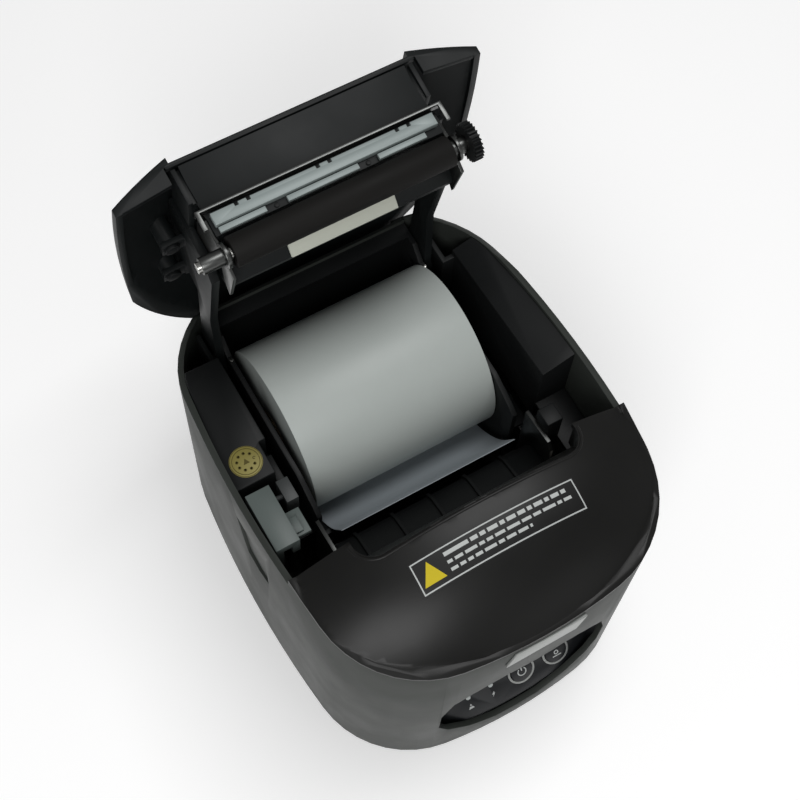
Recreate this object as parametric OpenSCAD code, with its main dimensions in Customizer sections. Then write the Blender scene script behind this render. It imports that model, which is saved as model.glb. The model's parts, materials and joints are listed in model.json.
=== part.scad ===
// Thermal receipt printer for 80 mm paper, shown with its lid standing open.
// X runs to the right, Y to the back and Z up. The origin lies under the middle
// of the body, on the surface that the feet stand on. Pieces of the lid are
// written in their closed place, and open_lid() turns them about the hinge.

/* [Casing] */
// Width across the bowed sides
body_w = 139.4; // [138:0.2:144]
// Depth from front to back
body_d = 182; // [181:0.5:186]
// Radius of the four upright corners
corner_r = 42; // [38:1:46]
// Radius of the slightly bowed sides
side_bow_r = 440; // [400:10:600]
// Radius of the slightly bowed front and back
end_bow_r = 210; // [190:10:260]
// Wall thickness of the outer casings
wall = 2.4; // [2:0.1:2.8]
// Thickness of the base plate
base_t = 2.4; // [2:0.2:3]
// How far the rubber feet stand out below the base
foot_out = 2; // [1.5:0.1:3]
// Height of the crown of the front cover and lid
crown_z = 129; // [128:0.5:132]
// Radius of the crown from side to side
arch_r = 160; // [150:5:200]
// Radius of the front cover from front to back
cover_r = 68; // [67:0.5:72]
// Radius of the lid from front to back
lid_r = 300; // [290:10:360]
// Width of the recess behind the front cover's crest, where paper comes out
recess_w = 90; // [84:1:92]
// Width of the shield-shaped front panel
panel_w = 71.6; // [66:0.4:74]
// Tilt of the control deck in the front recess, back from upright
panel_tilt = 38; // [34:1:42]

/* [Lid hinge] */
// Hinge axis from the middle towards the back
hinge_y = 69.5; // [69:0.1:70]
// Hinge axis height
hinge_z = 84; // [83.5:0.1:84.5]
// Angle between the closed and the open lid
lid_angle = 80; // [40:1:80]
// Diameter of the hinge pins
pin_d = 4; // [3:0.2:5]

/* [Paper] */
// Diameter of the paper roll
roll_d = 67.8; // [50:0.2:80]
// Width of the paper roll
roll_w = 79.5; // [57:0.5:80]
// Outer diameter of the cardboard core
core_d = 18; // [16:1:26]
// Wall of the cardboard core
core_t = 2.5; // [1.5:0.1:3]
// Inner diameter of the trough that the roll lies in
bucket_d = 83.2; // [82:0.2:84]
// Inner width of the trough
bucket_w = 82.8; // [82.4:0.1:83.2]

/* [Platen and head] */
// Diameter of the rubber roller
platen_d = 11; // [10:0.2:11.4]
// Length of the rubber roller
platen_w = 82; // [80:0.5:82.4]
// Diameter of the roller's steel core
core_rod_d = 4; // [3:0.2:4.6]
// Outer diameter of the sleeves that drop into the slots
sleeve_d = 6; // [5.4:0.1:6.6]
// Roller axis from the middle with the lid closed
platen_y = -31.3; // [-31.5:0.1:-31]
// Roller axis height with the lid closed
platen_z = 84; // [83.5:0.1:84.5]
// Tooth size of the paper feed gears, pitch diameter over teeth
gear_m = 0.5; // [0.45:0.01:0.5]
// Width of the paper feed gears
gear_w = 3.2; // [2.8:0.2:4.2]

/* [Controls] */
// Diameter of the two round front buttons
button_d = 9.4; // [7:0.2:10]
// How far a front button can be pushed
button_travel = 0.8; // [0.4:0.1:1]
// Length of the grey latch lever
lever_l = 23.5; // [18:0.5:24]
// Width of the grey latch lever
lever_w = 9.4; // [7:0.2:9.6]

/* [Cutter] */
// Travel of the moving blade
blade_travel = 7; // [4:0.5:7]
// Thickness of the moving blade
blade_t = 0.6; // [0.5:0.1:0.7]

/* [Hidden] */
$fn = 64;

// Clearances
fit = 0.2;           // between fixed pieces that slip together
gap = 0.3;           // between pieces that move past each other
run = 0.05;          // around a turning shaft
mesh = 0.1;          // added to the centre distance of meshing gears
parting = 0.4;       // between the closed lid and the lower casing

// Lines where the casings part
cover_y = -40.7;     // crest of the front cover
lid_y = -34.7;       // crest of the lid
split_y = -32.9;     // plane between front cover and lid
seam_z = crown_z - 15.2; // lower casing's edge at that plane, under the front cover
seam_fall = 0.122;   // its fall towards the front
rim_z = crown_z - 18.7; // lower casing's edge at that plane, under the lid
rim_fall = 0.08;     // its fall towards the back
far = 160;           // longer than the body on any axis

// Base, feet and screws
foot_d = 14;
foot_seat = 0.6;
foot_x = body_w / 2 - 21.7;
foot_ys = [-60, 62];
screw_d = 3;
screw_head_d = 5.6;
screw_head_h = 1.4;
screw_l = 14;
boss_d = 8;
boss_z = 34;
boss_x = body_w / 2 - 8.2;
boss_ys = [-40, 45];
base_z = foot_out + base_t;
mount_x = 40;
mount_y = 20;
mount_hole_d = 4.5;

// Lid hinge and the room for the lid's tail
alcove_w = bucket_w - 0.8;
alcove_y = 82.5;
alcove_z = 64;
rim_at_hinge = rim_z + parting - rim_fall * (hinge_y - split_y) - hinge_z;
swing_r = rim_at_hinge * cos(atan(rim_fall)) - parting - 0.05;
arm_x0 = bucket_w / 2 + 2.6;
arm_x1 = arm_x0 + 3.1;
eye_d = 13;

// Paper trough
bucket_wall = 2;
bucket_y = 36.8;
bucket_floor = 35.8;
bucket_z = bucket_floor + bucket_d / 2;
bucket_side_z = 90;
deck_z = 96.6;
deck_t = 1.6;
flange_z = 60;
flange_t = 2;
flange_x = bucket_w / 2 + 11.6;
trough_wall = 1.6;
front_r = 50.6;
front_z = bucket_floor + front_r;
front_top = 57;
cheek_y = -7.4;
roll_z = bucket_floor + gap + roll_d / 2;
post_d = 7;
post_x = bucket_w / 2 + 5.6;
post_ys = [5, 66];
tail_t = 0.3;
tail_w = 76;
tail_a0 = 14;
tail_a1 = 65.7;
tail_ahead = 10.5;

// Ledges beside the trough
ledge_z = 102.4;
ledge_t = 2;
ledge_x = bucket_w / 2 + 7;
left_x = ledge_x + 2.9;
right_x = ledge_x + 5.1;
left_step_y = 22.3;
right_step_y = 58;
ledge_end_y = 60;
right_low = 5.7;
right_sink = 0.15;
ledge_y1 = 76;
left_y0 = 8.8;
right_y0 = -5.2;
pocket_z = 76;

// Print mechanism
side_x = platen_w / 2 + 3.4;
side_t = 1.5;
side_y0 = -62;
side_y1 = -10.2;
side_z = 104;
flank_z = 91;
mech_z = 54;
mech_t = 2;
mech_post_x = 34;
mech_post_ys = [-54, -22];
head_t = 1.6;
head_z = 76;
head_h = 17;
head_y = platen_y - platen_d / 2 - 0.5;
sink_t = 6;
gear_x = side_x + side_t + 1.4;
gear_n = 26;
idler_n = 36;
pinion_n = 12;
idler_a = 240;
pinion_a = 200;
idler_step = gear_m * (gear_n + idler_n + 4) / 2 + gap;
pinion_step = gear_m * (idler_n + pinion_n) / 2 + mesh;
idler_y = platen_y + idler_step * cos(idler_a);
idler_z = platen_z + idler_step * sin(idler_a);
pinion_y = idler_y + pinion_step * cos(pinion_a);
pinion_z = idler_z + pinion_step * sin(pinion_a);
guide_rib = 1.4;
axle_d = 3;
motor_d = 20;
motor_l = 22;
motor_shaft_d = 2;

// Cutter
blade_z = 98.3;
blade_y0 = -41;
blade_l = 26;
blade_w = 78;
cutter_y0 = -80;
cutter_y1 = -43;
cutter_plate = 1.2;
knob_d = 20;
knob_y = -65;
knob_z = 90;
knob_x = side_x + side_t + 0.7;

// Boards and ports
board_z = 9;
board_t = 1.6;
board_y0 = 30;
board_y1 = 84;
board_w = body_w - 31.4;
port_y0 = 70;
port_y1 = 85.6;
port_wall = 1;

// Front panel, in its own plane: x to the right, v up along the plane
panel_z = 12.2;
panel_t = 2.2;
panel_rim = 1.6;
panel_up = 80;
panel_deck = 26;
panel_over = 2;
button_v = 14.6;
feed_x = 21.5;
power_x = 5.6;
ring_w = 0.9;
ring_h = 0.6;
led_v = 15.4;
led_xs = [-8, -18.2];
led_d = 2;
panel_board_v = 14.6;
panel_board_w = 68;
panel_board_h = 16;
panel_peg_d = 4;
panel_peg_x = panel_board_w / 2 - panel_peg_d;
panel_board_back = 7;

// Lid
lens_x = arm_x1 + 0.2;
inner_z = bucket_z;
inner_r = bucket_d / 2 + 0.5;
beak_x = platen_w / 2 + 1.6;
tear_w = 92;
tear_z = 99.3;
tear_t = 1;
tear_tab_w = 1.5;
tear_tab_z = 93;
beak_face_y = -31.6;
fixed_w = 83;
fixed_t = 2.6;
fixed_z0 = 93.5;
fixed_z1 = 98;
slit_w = 1.4;
slit_gap = 3;
slit_xs = [-30, 0, 30];
tear_y = platen_y - 3.6;
strips = [[-41, -24], [-16.2, 10.4], [17.9, 36.1]];
small_screw_xs = [-20.1, 14.2];
strip_t = 1.6;
strip_z0 = 91;
strip_z1 = 93;
small_head_d = 1.7;
small_head_h = 0.6;
cheek_top_z = crown_z - 16;
lid_screw_l = 5;
lid_screw_head_h = 1.2;
bracket_t = 1.2;
bracket_eye_d = 9.2;
pad_w = 41;
sleeve_end_x = 52;
shaft_end_x = 53.4;

// Outline of the casing: bowed sides and ends joined by round corners
side_c = body_w / 2 - side_bow_r;
end_c = end_bow_r - body_d / 2;
centre_gap = norm([side_c, end_c]);
side_arm = side_bow_r - corner_r;
end_arm = end_bow_r - corner_r;
along = (side_arm ^ 2 - end_arm ^ 2 + centre_gap ^ 2) / (2 * centre_gap);
across = sqrt(side_arm ^ 2 - along ^ 2);
corner_x = side_c - (along * side_c - across * end_c) / centre_gap;
corner_y = (along * end_c + across * side_c) / centre_gap;
side_a = atan2(corner_y, corner_x - side_c);
end_a = atan2(corner_y - end_c, corner_x);

function arc(c, r, a0, a1, n) =
  [for (i = [0:n]) let (a = a0 + (a1 - a0) * i / n) [c[0] + r * cos(a), c[1] + r * sin(a)]];
function quarter(t) = concat(
  arc([0, end_c], end_bow_r - t, -90, end_a, 4),
  arc([corner_x, corner_y], corner_r - t, end_a, side_a, 9),
  arc([side_c, 0], side_bow_r - t, side_a, 0, 5));
function flip(pts, sx, sy) = [for (p = pts) [p[0] * sx, p[1] * sy]];
function backwards(pts) = [for (i = [len(pts) - 1:-1:0]) pts[i]];

// Casing outline, moved inwards by t
module plan(t) {
  q = quarter(t);
  polygon(concat(q, backwards(flip(q, 1, -1)), flip(q, -1, -1), backwards(flip(q, -1, 1))));
}

module column(t) {
  translate([0, 0, -1]) linear_extrude(far) plan(t);
}

// Solid below a crown that is arched both ways, moved inwards by t
module barrel(y, r, t) {
  translate([0, y, crown_z - r])
    rotate([0, 90, 0])
      rotate_extrude($fn = 240)
        intersection() {
          translate([r - arch_r, 0]) circle(r = arch_r - t, $fn = 240);
          translate([0, -far]) square([r + 1, 2 * far]);
        }
}

// A side view, drawn as [y, z], made solid from x0 to x1
module side_view(x0, x1) {
  translate([x0, 0, 0]) rotate([90, 0, 90]) linear_extrude(x1 - x0) children();
}

module block(x0, x1, y0, y1, z0, z1) {
  translate([x0, y0, z0]) cube([x1 - x0, y1 - y0, z1 - z0]);
}

// Round rod along X
module rod(d, x0, x1, y, z) {
  translate([x0, y, z]) rotate([0, 90, 0]) cylinder(d = d, h = x1 - x0);
}

module both() {
  children();
  mirror([1, 0, 0]) children();
}

module open_lid() {
  translate([0, hinge_y, hinge_z])
    rotate([-lid_angle, 0, 0])
      translate([0, -hinge_y, -hinge_z])
        children();
}

// Frame on the face of the front panel: x right, y up the face, z out of it
module on_panel() {
  translate([0, -body_d / 2, panel_z]) rotate([90 - panel_tilt, 0, 0]) children();
}

function seam_at(y) = seam_z + seam_fall * (y - split_y);
function rim_at(y) = rim_z - rim_fall * (y - split_y);

// ---- Base ----

module screw_holes() {
  both()
    for (y = boss_ys)
      translate([boss_x, y, foot_out]) {
        cylinder(d1 = screw_head_d, d2 = screw_d + fit, h = screw_head_h);
        cylinder(d = screw_d + fit, h = far / 4);
      }
}

module base_plate() {
  color([0.16, 0.17, 0.17]) {
    difference() {
      translate([0, 0, foot_out]) linear_extrude(base_t) plan(wall + fit);
      screw_holes();
      both()
        for (y = foot_ys)
          translate([foot_x, y, foot_out - 1]) cylinder(d = foot_d + fit, h = 1 + foot_seat);
      both() translate([mount_x, mount_y, 0]) cylinder(d = mount_hole_d, h = far);
    }
    // posts for the paper trough, the mechanism and the main board
    both() {
      for (y = post_ys)
        translate([post_x, y, base_z]) cylinder(d = post_d, h = flange_z - flange_t - base_z);
      for (y = mech_post_ys)
        translate([mech_post_x, y, base_z]) cylinder(d = post_d, h = mech_z - mech_t - base_z);
      for (y = [board_y0 + 6, board_y1 - 20])
        translate([board_w / 2 - 17, y, base_z]) cylinder(d = post_d, h = board_z - base_z);
    }
  }
}

module rubber_feet() {
  color([0.09, 0.09, 0.09])
    both()
      for (y = foot_ys)
        translate([foot_x, y, 0]) cylinder(d = foot_d, h = foot_out + foot_seat);
}

module base_screws() {
  color([0.6, 0.6, 0.6])
    both()
      for (y = boss_ys)
        translate([boss_x, y, foot_out]) {
          cylinder(d1 = screw_head_d, d2 = screw_d + fit, h = screw_head_h);
          cylinder(d = screw_d, h = screw_l);
        }
}

// ---- Lower casing ----

// Everything below the edge that carries the front cover and the lid
module below_rim() {
  side_view(-far, far)
    polygon([[-far, 0], [-far, seam_at(-far)], [split_y, seam_z], [split_y, rim_z],
      [far, rim_at(far)], [far, 0]]);
}

// Corners of the front panel's shield, drawn x right and z up, moved inwards by t
function shield(t) = let (h = panel_w / 2 - t, b = panel_z + t, s = panel_up - t)
  [[-h + 24, s - 3], [-h + 18, s - 5], [-h + 11, s - 9], [-h + 4, s - 15], [-h, s - 30],
   [-h, b + 22], [-h + 4, b + 14], [-h + 14, b + 5], [-10, b], [10, b], [h - 14, b + 5],
   [h - 4, b + 14], [h, b + 22], [h, s - 30], [h - 4, s - 15], [h - 11, s - 9], [h - 18, s - 5],
   [h - 24, s - 3]];

// The shield cut or built along Y, through the front wall
module shield_bar(t) {
  translate([0, -body_d / 4, 0]) rotate([90, 0, 0]) linear_extrude(body_d / 3) polygon(shield(t));
}

module alcove() {
  block(-alcove_w / 2, alcove_w / 2, alcove_y, far, alcove_z, far);
}

module swing_relief() {
  difference() {
    block(-far / 2, far / 2, hinge_y, far, hinge_z, far);
    rod(2 * swing_r, -far, far, hinge_y, hinge_z);
  }
}

module boss_posts() {
  intersection() {
    column(wall / 2);
    both()
      for (y = boss_ys)
        translate([boss_x, y, base_z]) cylinder(d = boss_d, h = boss_z - base_z);
  }
}

function port_list() = [[-30, 15], [-10, 14], [10, 18], [30, 15]];
port_z0 = board_z + board_t - fit;
port_z1 = port_z0 + 15;

module lower_shell() {
  color([0.22, 0.23, 0.22])
    difference() {
      union() {
        difference() {
          intersection() {
            translate([0, 0, foot_out]) linear_extrude(far) plan(0);
            below_rim();
            union() {
              barrel(lid_y, lid_r, 0);
              block(-far, far, -far, split_y, 0, far);
            }
          }
          difference() {
            column(wall);
            block(-alcove_w / 2 - wall, alcove_w / 2 + wall, alcove_y - wall, far,
              alcove_z - wall, far);
          }
        }
        boss_posts();
      }
      alcove();
      swing_relief();
      screw_holes();
      shield_bar(0);
      // finger scoop beside the latch lever
      side_view(-far, -body_w / 2 + wall / 2)
        polygon([[5.8, 88.9], [-1.2, 68.2], [-9.9, 67.5], [-16.9, 70], [-16.2, 92.4]]);
      for (p = port_list())
        block(p[0] - p[1] / 2 - gap, p[0] + p[1] / 2 + gap, body_d / 4, far,
          port_z0 - gap, port_z1 + gap);
    }
}

// ---- Paper trough and the ledges beside it ----

// Inside of the trough, grown by t: the roll's round seat, and a wider bend up to the front
module trough_room(t, half) {
  rod(bucket_d + 2 * t, -half, half, bucket_y, bucket_z);
  intersection() {
    rod(2 * (front_r + t), -half, half, bucket_y, front_z);
    block(-far, far, -far, bucket_y, 0, bucket_side_z);
  }
}

module paper_bucket() {
  half = bucket_w / 2;
  outer = half + bucket_wall;
  color([0.13, 0.14, 0.14])
    difference() {
      union() {
        intersection() {
          trough_room(trough_wall, outer);
          side_view(-far, far)
            polygon([[cheek_y, 0], [cheek_y, 82], [-3.2, 84.8], [6, 89], [9, bucket_side_z],
              [64, bucket_side_z], [70, deck_z], [alcove_y - wall, deck_z], [alcove_y - wall, 0]]);
        }
        // rear deck, up to the alcove
        block(-outer, outer, bucket_y + bucket_d / 2 - 5, alcove_y - wall, deck_z - deck_t, deck_z);
        // cheeks around the hinge pins, and the flanges at the sides
        both() {
          rod(eye_d, half, outer, hinge_y, hinge_z);
          intersection() {
            column(wall + fit);
            block(half + bucket_wall / 2, flange_x, -4, ledge_y1, flange_z - flange_t, flange_z);
          }
        }
      }
      trough_room(0, half);
      rod(pin_d, -far / 2, far / 2, hinge_y, hinge_z);
      // mouth of the trough above its sides, and above its lower front
      block(-half, half, -far, bucket_y + bucket_d / 2 - 5, bucket_side_z, far);
      block(-half, half, -far, bucket_y, front_top, far);
    }
}

// Flat top with walls that reach down to the trough's flange
module left_ledge() {
  color([0.15, 0.16, 0.16])
    mirror([1, 0, 0])
      difference() {
        intersection() {
          column(wall + fit);
          union() {
            block(left_x, far, left_y0, ledge_end_y, ledge_z - ledge_t, ledge_z);
            block(ledge_x, left_x + ledge_t, left_step_y, ledge_end_y, ledge_z - ledge_t, ledge_z);
            block(ledge_x, ledge_x + ledge_t, left_step_y, ledge_y1, flange_z, ledge_z - 8);
            block(ledge_x, ledge_x + ledge_t, left_step_y, ledge_end_y, flange_z, ledge_z);
            block(left_x, far, left_y0, left_y0 + ledge_t, flange_z + 6, ledge_z);
            block(left_x, left_x + ledge_t, left_y0, left_step_y + ledge_t, flange_z + 6, ledge_z);
            block(ledge_x, left_x + ledge_t, left_step_y, left_step_y + ledge_t, flange_z + 6,
              ledge_z);
          }
        }
        rod(pin_d, 0, far, hinge_y, hinge_z);
      }
}

// All below a top that rises outwards and follows the casing's edge, moved down by t
module under_slope(t) {
  translate([0, split_y, rim_z])
    rotate([90 - atan(rim_fall), 0, 0])
      translate([0, 0, -far])
        linear_extrude(2 * far)
          polygon([[right_x - t, -far], [right_x - t, -right_low - t], [right_x, -right_low - t],
            [body_w / 2, -right_sink - t], [body_w / 2, -far]]);
}

module right_ledge() {
  color([0.15, 0.16, 0.16])
    difference() {
      intersection() {
        column(wall + fit);
        union() {
          // sloping top with its front and its inner wall
          intersection() {
            under_slope(0);
            difference() {
              block(right_x, far, right_y0, ledge_end_y, flange_z + 6, far);
              intersection() {
                under_slope(ledge_t);
                block(right_x + ledge_t, far, right_y0 + ledge_t, far, 0, far);
              }
            }
          }
          // wall that holds the hinge pin
          block(ledge_x, ledge_x + ledge_t, right_step_y, ledge_y1, flange_z, ledge_z - 8);
          block(ledge_x, right_x + ledge_t, right_step_y, right_step_y + ledge_t, flange_z + 6,
            ledge_z - 8);
          // floor of the pocket in front of the ledge
          block(right_x, far, split_y + 2, right_y0 + ledge_t, pocket_z, pocket_z + ledge_t);
        }
      }
      rod(pin_d, 0, far, hinge_y, hinge_z);
    }
}

module hinge_pins() {
  color([0.72, 0.72, 0.7])
    both()
      rod(pin_d, bucket_w / 2, ledge_x + ledge_t, hinge_y, hinge_z);
}

// Bright screws at the top of the trough's cheeks
module hinge_pin_caps() {
  color([0.8, 0.8, 0.78])
    both()
      translate([bucket_w / 2 + bucket_wall / 2, 62, bucket_side_z]) {
        cylinder(d = 1.8, h = 1.2);
      }
}

sticker_x = -body_w / 2 + 10.9;
sticker_y = 17.5;
sticker_d = 12.3;
sticker_t = 0.2;

module gold_sticker() {
  color([0.72, 0.6, 0.25])
    translate([sticker_x, sticker_y, ledge_z]) cylinder(d = sticker_d, h = sticker_t);
}

// ---- Print mechanism ----

module mech_sides() {
  slot = sleeve_d / 2 + gap;
  color([0.62, 0.63, 0.62])
    both()
      difference() {
        side_view(side_x, side_x + side_t)
          polygon([[side_y0, mech_z - mech_t], [side_y0, side_z - 3], [cutter_y1, side_z - 3],
            [cutter_y1, side_z - 16], [platen_y, side_z - 16], [platen_y, flank_z],
            [side_y1, flank_z - 2], [side_y1, mech_z - mech_t]]);
        // slot that the roller's sleeves drop into, flared at the back
        side_view(side_x - 1, side_x + side_t + 1)
          polygon([[platen_y - slot, platen_z], [platen_y - slot, far], [platen_y + slot + 3, far],
            [platen_y + slot + 3, flank_z], [platen_y + slot, flank_z - 4],
            [platen_y + slot, platen_z]]);
        rod(2 * slot, side_x - 1, side_x + side_t + 1, platen_y, platen_z);
        rod(axle_d, side_x - 1, side_x + side_t + 1, idler_y, idler_z);
        rod(motor_shaft_d + 2, side_x - 1, side_x + side_t + 1, pinion_y, pinion_z);
      }
}

module mech_base() {
  color([0.6, 0.61, 0.6])
    block(-side_x, side_x, side_y0, side_y1, mech_z - mech_t, mech_z);
}

module heatsink() {
  color([0.68, 0.7, 0.7])
    difference() {
      block(-side_x, side_x, head_y - head_t - sink_t, head_y - head_t, head_z - 2, head_z + head_h - 1);
      for (z = [head_z + 1, head_z + 5, head_z + 9])
        block(-side_x + 4, side_x - 4, head_y - head_t - sink_t - 1, head_y - head_t - sink_t + 3,
          z, z + 2);
    }
}

// Black plate that leads the paper from the trough to the roller
module paper_guide() {
  color([0.08, 0.08, 0.08]) {
    side_view(-side_x, side_x)
      polygon([[-34.5, 76.5], [-30, 75.2], [-18, 72], [-15.4, 69], [-15.4, 60], [-17, 60],
        [-17, 68.4], [-18.6, 70.2], [-30, 73.4], [-34.5, 74.7]]);
    for (x = [-32:16:32])
      side_view(x - guide_rib / 2, x + guide_rib / 2)
        polygon([[-34, 76], [-30, 76.4], [-18, 73.2], [-14.4, 69.4], [-14.4, 64], [-16, 62],
          [-17, 71], [-30, 74.4]]);
  }
}

module print_head() {
  color([0.78, 0.76, 0.68])
    block(-platen_w / 2, platen_w / 2, head_y - head_t, head_y, head_z, head_z + head_h);
}

// Spur gear with straight-sided teeth, along X from x0, one tooth pointing along a
module gear(n, bore, x0, y, z, a = 0) {
  pitch = gear_m * n / 2;
  root = pitch - 1.25 * gear_m;
  tip = pitch + gear_m;
  step = 360 / n;
  translate([x0, y, z])
    rotate([90, 0, 90])
      linear_extrude(gear_w)
        difference() {
          polygon([for (i = [0:n - 1], k = [[-0.32, root], [-0.1, tip], [0.1, tip], [0.32, root]])
            let (t = a + step * (i + k[0])) [k[1] * cos(t), k[1] * sin(t)]]);
          circle(d = bore);
        }
}

module feed_motor() {
  color([0.5, 0.51, 0.52])
    rod(motor_d, side_x - motor_l, side_x, pinion_y, pinion_z);
}

module motor_pinion() {
  color([0.75, 0.68, 0.4]) {
    gear(pinion_n, motor_shaft_d / 2, gear_x, pinion_y, pinion_z, pinion_a);
    rod(motor_shaft_d, side_x + gap, gear_x + gear_w, pinion_y, pinion_z);
  }
}

module idler_axle() {
  color([0.7, 0.7, 0.7]) {
    rod(axle_d, side_x, gear_x + gear_w + gap, idler_y, idler_z);
    rod(axle_d + 2, gear_x + gear_w + gap, gear_x + gear_w + 1.2, idler_y, idler_z);
    rod(axle_d + 1.6, side_x + side_t, gear_x - gap, idler_y, idler_z);
  }
}

module idler_gear() {
  color([0.85, 0.84, 0.78]) gear(idler_n, axle_d + 2 * run, gear_x, idler_y, idler_z,
    pinion_a + 180 / idler_n);
}

// ---- Cutter ----

module cutter_frame() {
  low = blade_z - gap;
  high = blade_z + blade_t + gap;
  color([0.64, 0.65, 0.65]) {
    knob_bracket();
    block(-side_x, side_x, cutter_y0, cutter_y1, low - cutter_plate, low);
    block(-side_x, side_x, cutter_y0, cutter_y1, high, high + cutter_plate);
    both() block(blade_w / 2 + gap, side_x, cutter_y0, cutter_y1, low, high);
  }
}

module cutter_motor() {
  color([0.45, 0.46, 0.47])
    rod(14, -side_x + 6, -side_x + 34, cutter_y0 + 8, blade_z - gap - cutter_plate - 7);
}

// Wheel that winds a stuck blade back by hand
module cutter_knob() {
  color([0.86, 0.86, 0.84]) {
    rod(knob_d, knob_x, knob_x + 5, knob_y, knob_z);
    rod(4, side_x - 8, knob_x, knob_y, knob_z);
  }
}

module knob_bracket() {
  difference() {
    block(side_x - 6, side_x - 2, knob_y - 5, knob_y + 5, knob_z - 6, blade_z - gap - cutter_plate);
    rod(4 + 2 * run, side_x - 7, side_x, knob_y, knob_z);
  }
}

module moving_blade() {
  color([0.8, 0.81, 0.82])
    translate([0, blade_y0, blade_z])
      linear_extrude(blade_t)
        polygon([[-blade_w / 2, -blade_l], [blade_w / 2, -blade_l], [blade_w / 2, 0], [4, -3], [2, -3],
          [2, -1], [-2, -1], [-2, -3], [-4, -3], [-blade_w / 2, 0]]);
}

// ---- Electronics ----

module main_board() {
  color([0.1, 0.32, 0.18])
    difference() {
      block(-board_w / 2, board_w / 2, board_y0, board_y1 - 10, board_z, board_z + board_t);
      both() block(board_w / 2 - 12, far, board_y1 - 30, far, 0, far);
    }
}

// Socket shell that opens through the rear wall
module socket(i) {
  x = port_list()[i][0];
  w = port_list()[i][1];
  block(x - w / 2, x + w / 2, port_y0, port_y1, board_z + board_t, port_z1);
}

module socket_mouth(i, w, z0, z1) {
  x = port_list()[i][0];
  block(x - w / 2, x + w / 2, port_y0 + 3, far, z0, z1);
}

module power_inlet() {
  color([0.1, 0.1, 0.1])
    difference() {
      socket(0);
      translate([port_list()[0][0], port_y0 + 3, port_z0 + 7.6])
        rotate([-90, 0, 0]) cylinder(d = 11, h = far);
    }
}

module usb_port() {
  color([0.7, 0.71, 0.72])
    difference() {
      socket(1);
      socket_mouth(1, 11, port_z0 + 3, port_z1 - 2);
    }
}

module lan_port() {
  color([0.68, 0.7, 0.7])
    difference() {
      socket(2);
      socket_mouth(2, 13, port_z0 + 3, port_z1 - 3);
    }
}

module drawer_port() {
  color([0.12, 0.12, 0.12])
    difference() {
      socket(3);
      socket_mouth(3, 11, port_z0 + 3, port_z1 - 4);
    }
}

// ---- Front panel ----

// Side view of all that lies in front of the deck and of the wall behind it, moved back by t
module before_panel(t) {
  deck_y = -body_d / 2 + panel_deck * sin(panel_tilt) + t;
  foot_y = -body_d / 2 + t / cos(panel_tilt);
  side_view(-far, far)
    polygon([[-far, 0], [foot_y - panel_z * tan(panel_tilt), 0],
      [deck_y, panel_z + (deck_y - foot_y) / tan(panel_tilt)], [deck_y, far], [-far, far]]);
}

// Room behind the shield-shaped opening, shrunk by t at the sides and the top
module panel_room(t) {
  half = panel_w / 2 + panel_over - t;
  block(-half, half, -far, -body_d / 4, panel_z + panel_over - 0.5, panel_up + panel_over - t);
}

module front_panel() {
  color([0.07, 0.07, 0.08]) {
    difference() {
      intersection() {
        panel_room(0);
        column(wall + fit);
        before_panel(panel_t);
      }
      intersection() {
        panel_room(panel_rim);
        before_panel(0);
      }
      on_panel() {
        for (x = [feed_x, power_x])
          translate([x, button_v, -panel_t - 1]) cylinder(d = button_d + 2 * gap, h = panel_t + 2);
        for (x = led_xs)
          translate([x, led_v, -panel_t - 1]) cylinder(d = led_d + fit, h = panel_t + 2);
      }
    }
    // pegs that hold the panel board
    on_panel()
      for (x = [-panel_peg_x, panel_peg_x])
        translate([x, panel_board_v, -panel_board_back])
          cylinder(d = panel_peg_d, h = panel_board_back - panel_t + 0.5);
  }
}

module panel_board() {
  color([0.12, 0.35, 0.2])
    on_panel()
      translate([-panel_board_w / 2, panel_board_v - panel_board_h / 2, -panel_board_back - board_t])
        cube([panel_board_w, panel_board_h, board_t]);
}

module button_rings() {
  color([0.5, 0.51, 0.52])
    on_panel()
      for (x = [feed_x, power_x])
        translate([x, button_v, 0])
          difference() {
            cylinder(d = button_d + 2 * (gap + ring_w), h = ring_h);
            translate([0, 0, -1]) cylinder(d = button_d + 2 * gap, h = ring_h + 2);
          }
}

module front_button(x) {
  on_panel()
    translate([x, button_v, 0]) {
      translate([0, 0, -panel_t - gap - 1]) cylinder(d = button_d, h = panel_t + gap + 1 + ring_h + 0.5);
      translate([0, 0, -panel_t - gap - 1]) cylinder(d = button_d + 2, h = 1);
      translate([0, 0, -panel_board_back + button_travel + gap])
        cylinder(d = 3, h = panel_board_back - button_travel - gap - panel_t - gap);
    }
}

module feed_button() {
  color([0.2, 0.2, 0.21]) front_button(feed_x);
}

module power_button() {
  color([0.2, 0.2, 0.21]) front_button(power_x);
}

module led_pipes() {
  color([0.8, 0.85, 0.85])
    on_panel()
      for (x = led_xs)
        translate([x, led_v, -panel_board_back]) cylinder(d = led_d, h = panel_board_back + 0.1);
}

badge_x = 1.1;
badge_z = crown_z - 30.2;
badge_w = 31.8;
badge_h = 10.4;
badge_lean = 3;
badge_t = 0.5;

module badge() {
  color([0.7, 0.72, 0.72])
    difference() {
      translate([badge_x, -body_d / 4, badge_z])
        rotate([90, 0, 0])
          linear_extrude(body_d / 3)
            polygon([[-badge_w / 2, -badge_h / 2], [badge_w / 2 - badge_lean, -badge_h / 2],
              [badge_w / 2, badge_h / 2], [-badge_w / 2 + badge_lean, badge_h / 2]]);
      column(0);
      block(-far, far, -far, -body_d / 2 - badge_t, 0, far);
    }
}

// ---- Latch lever and the pieces near it ----

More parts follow.
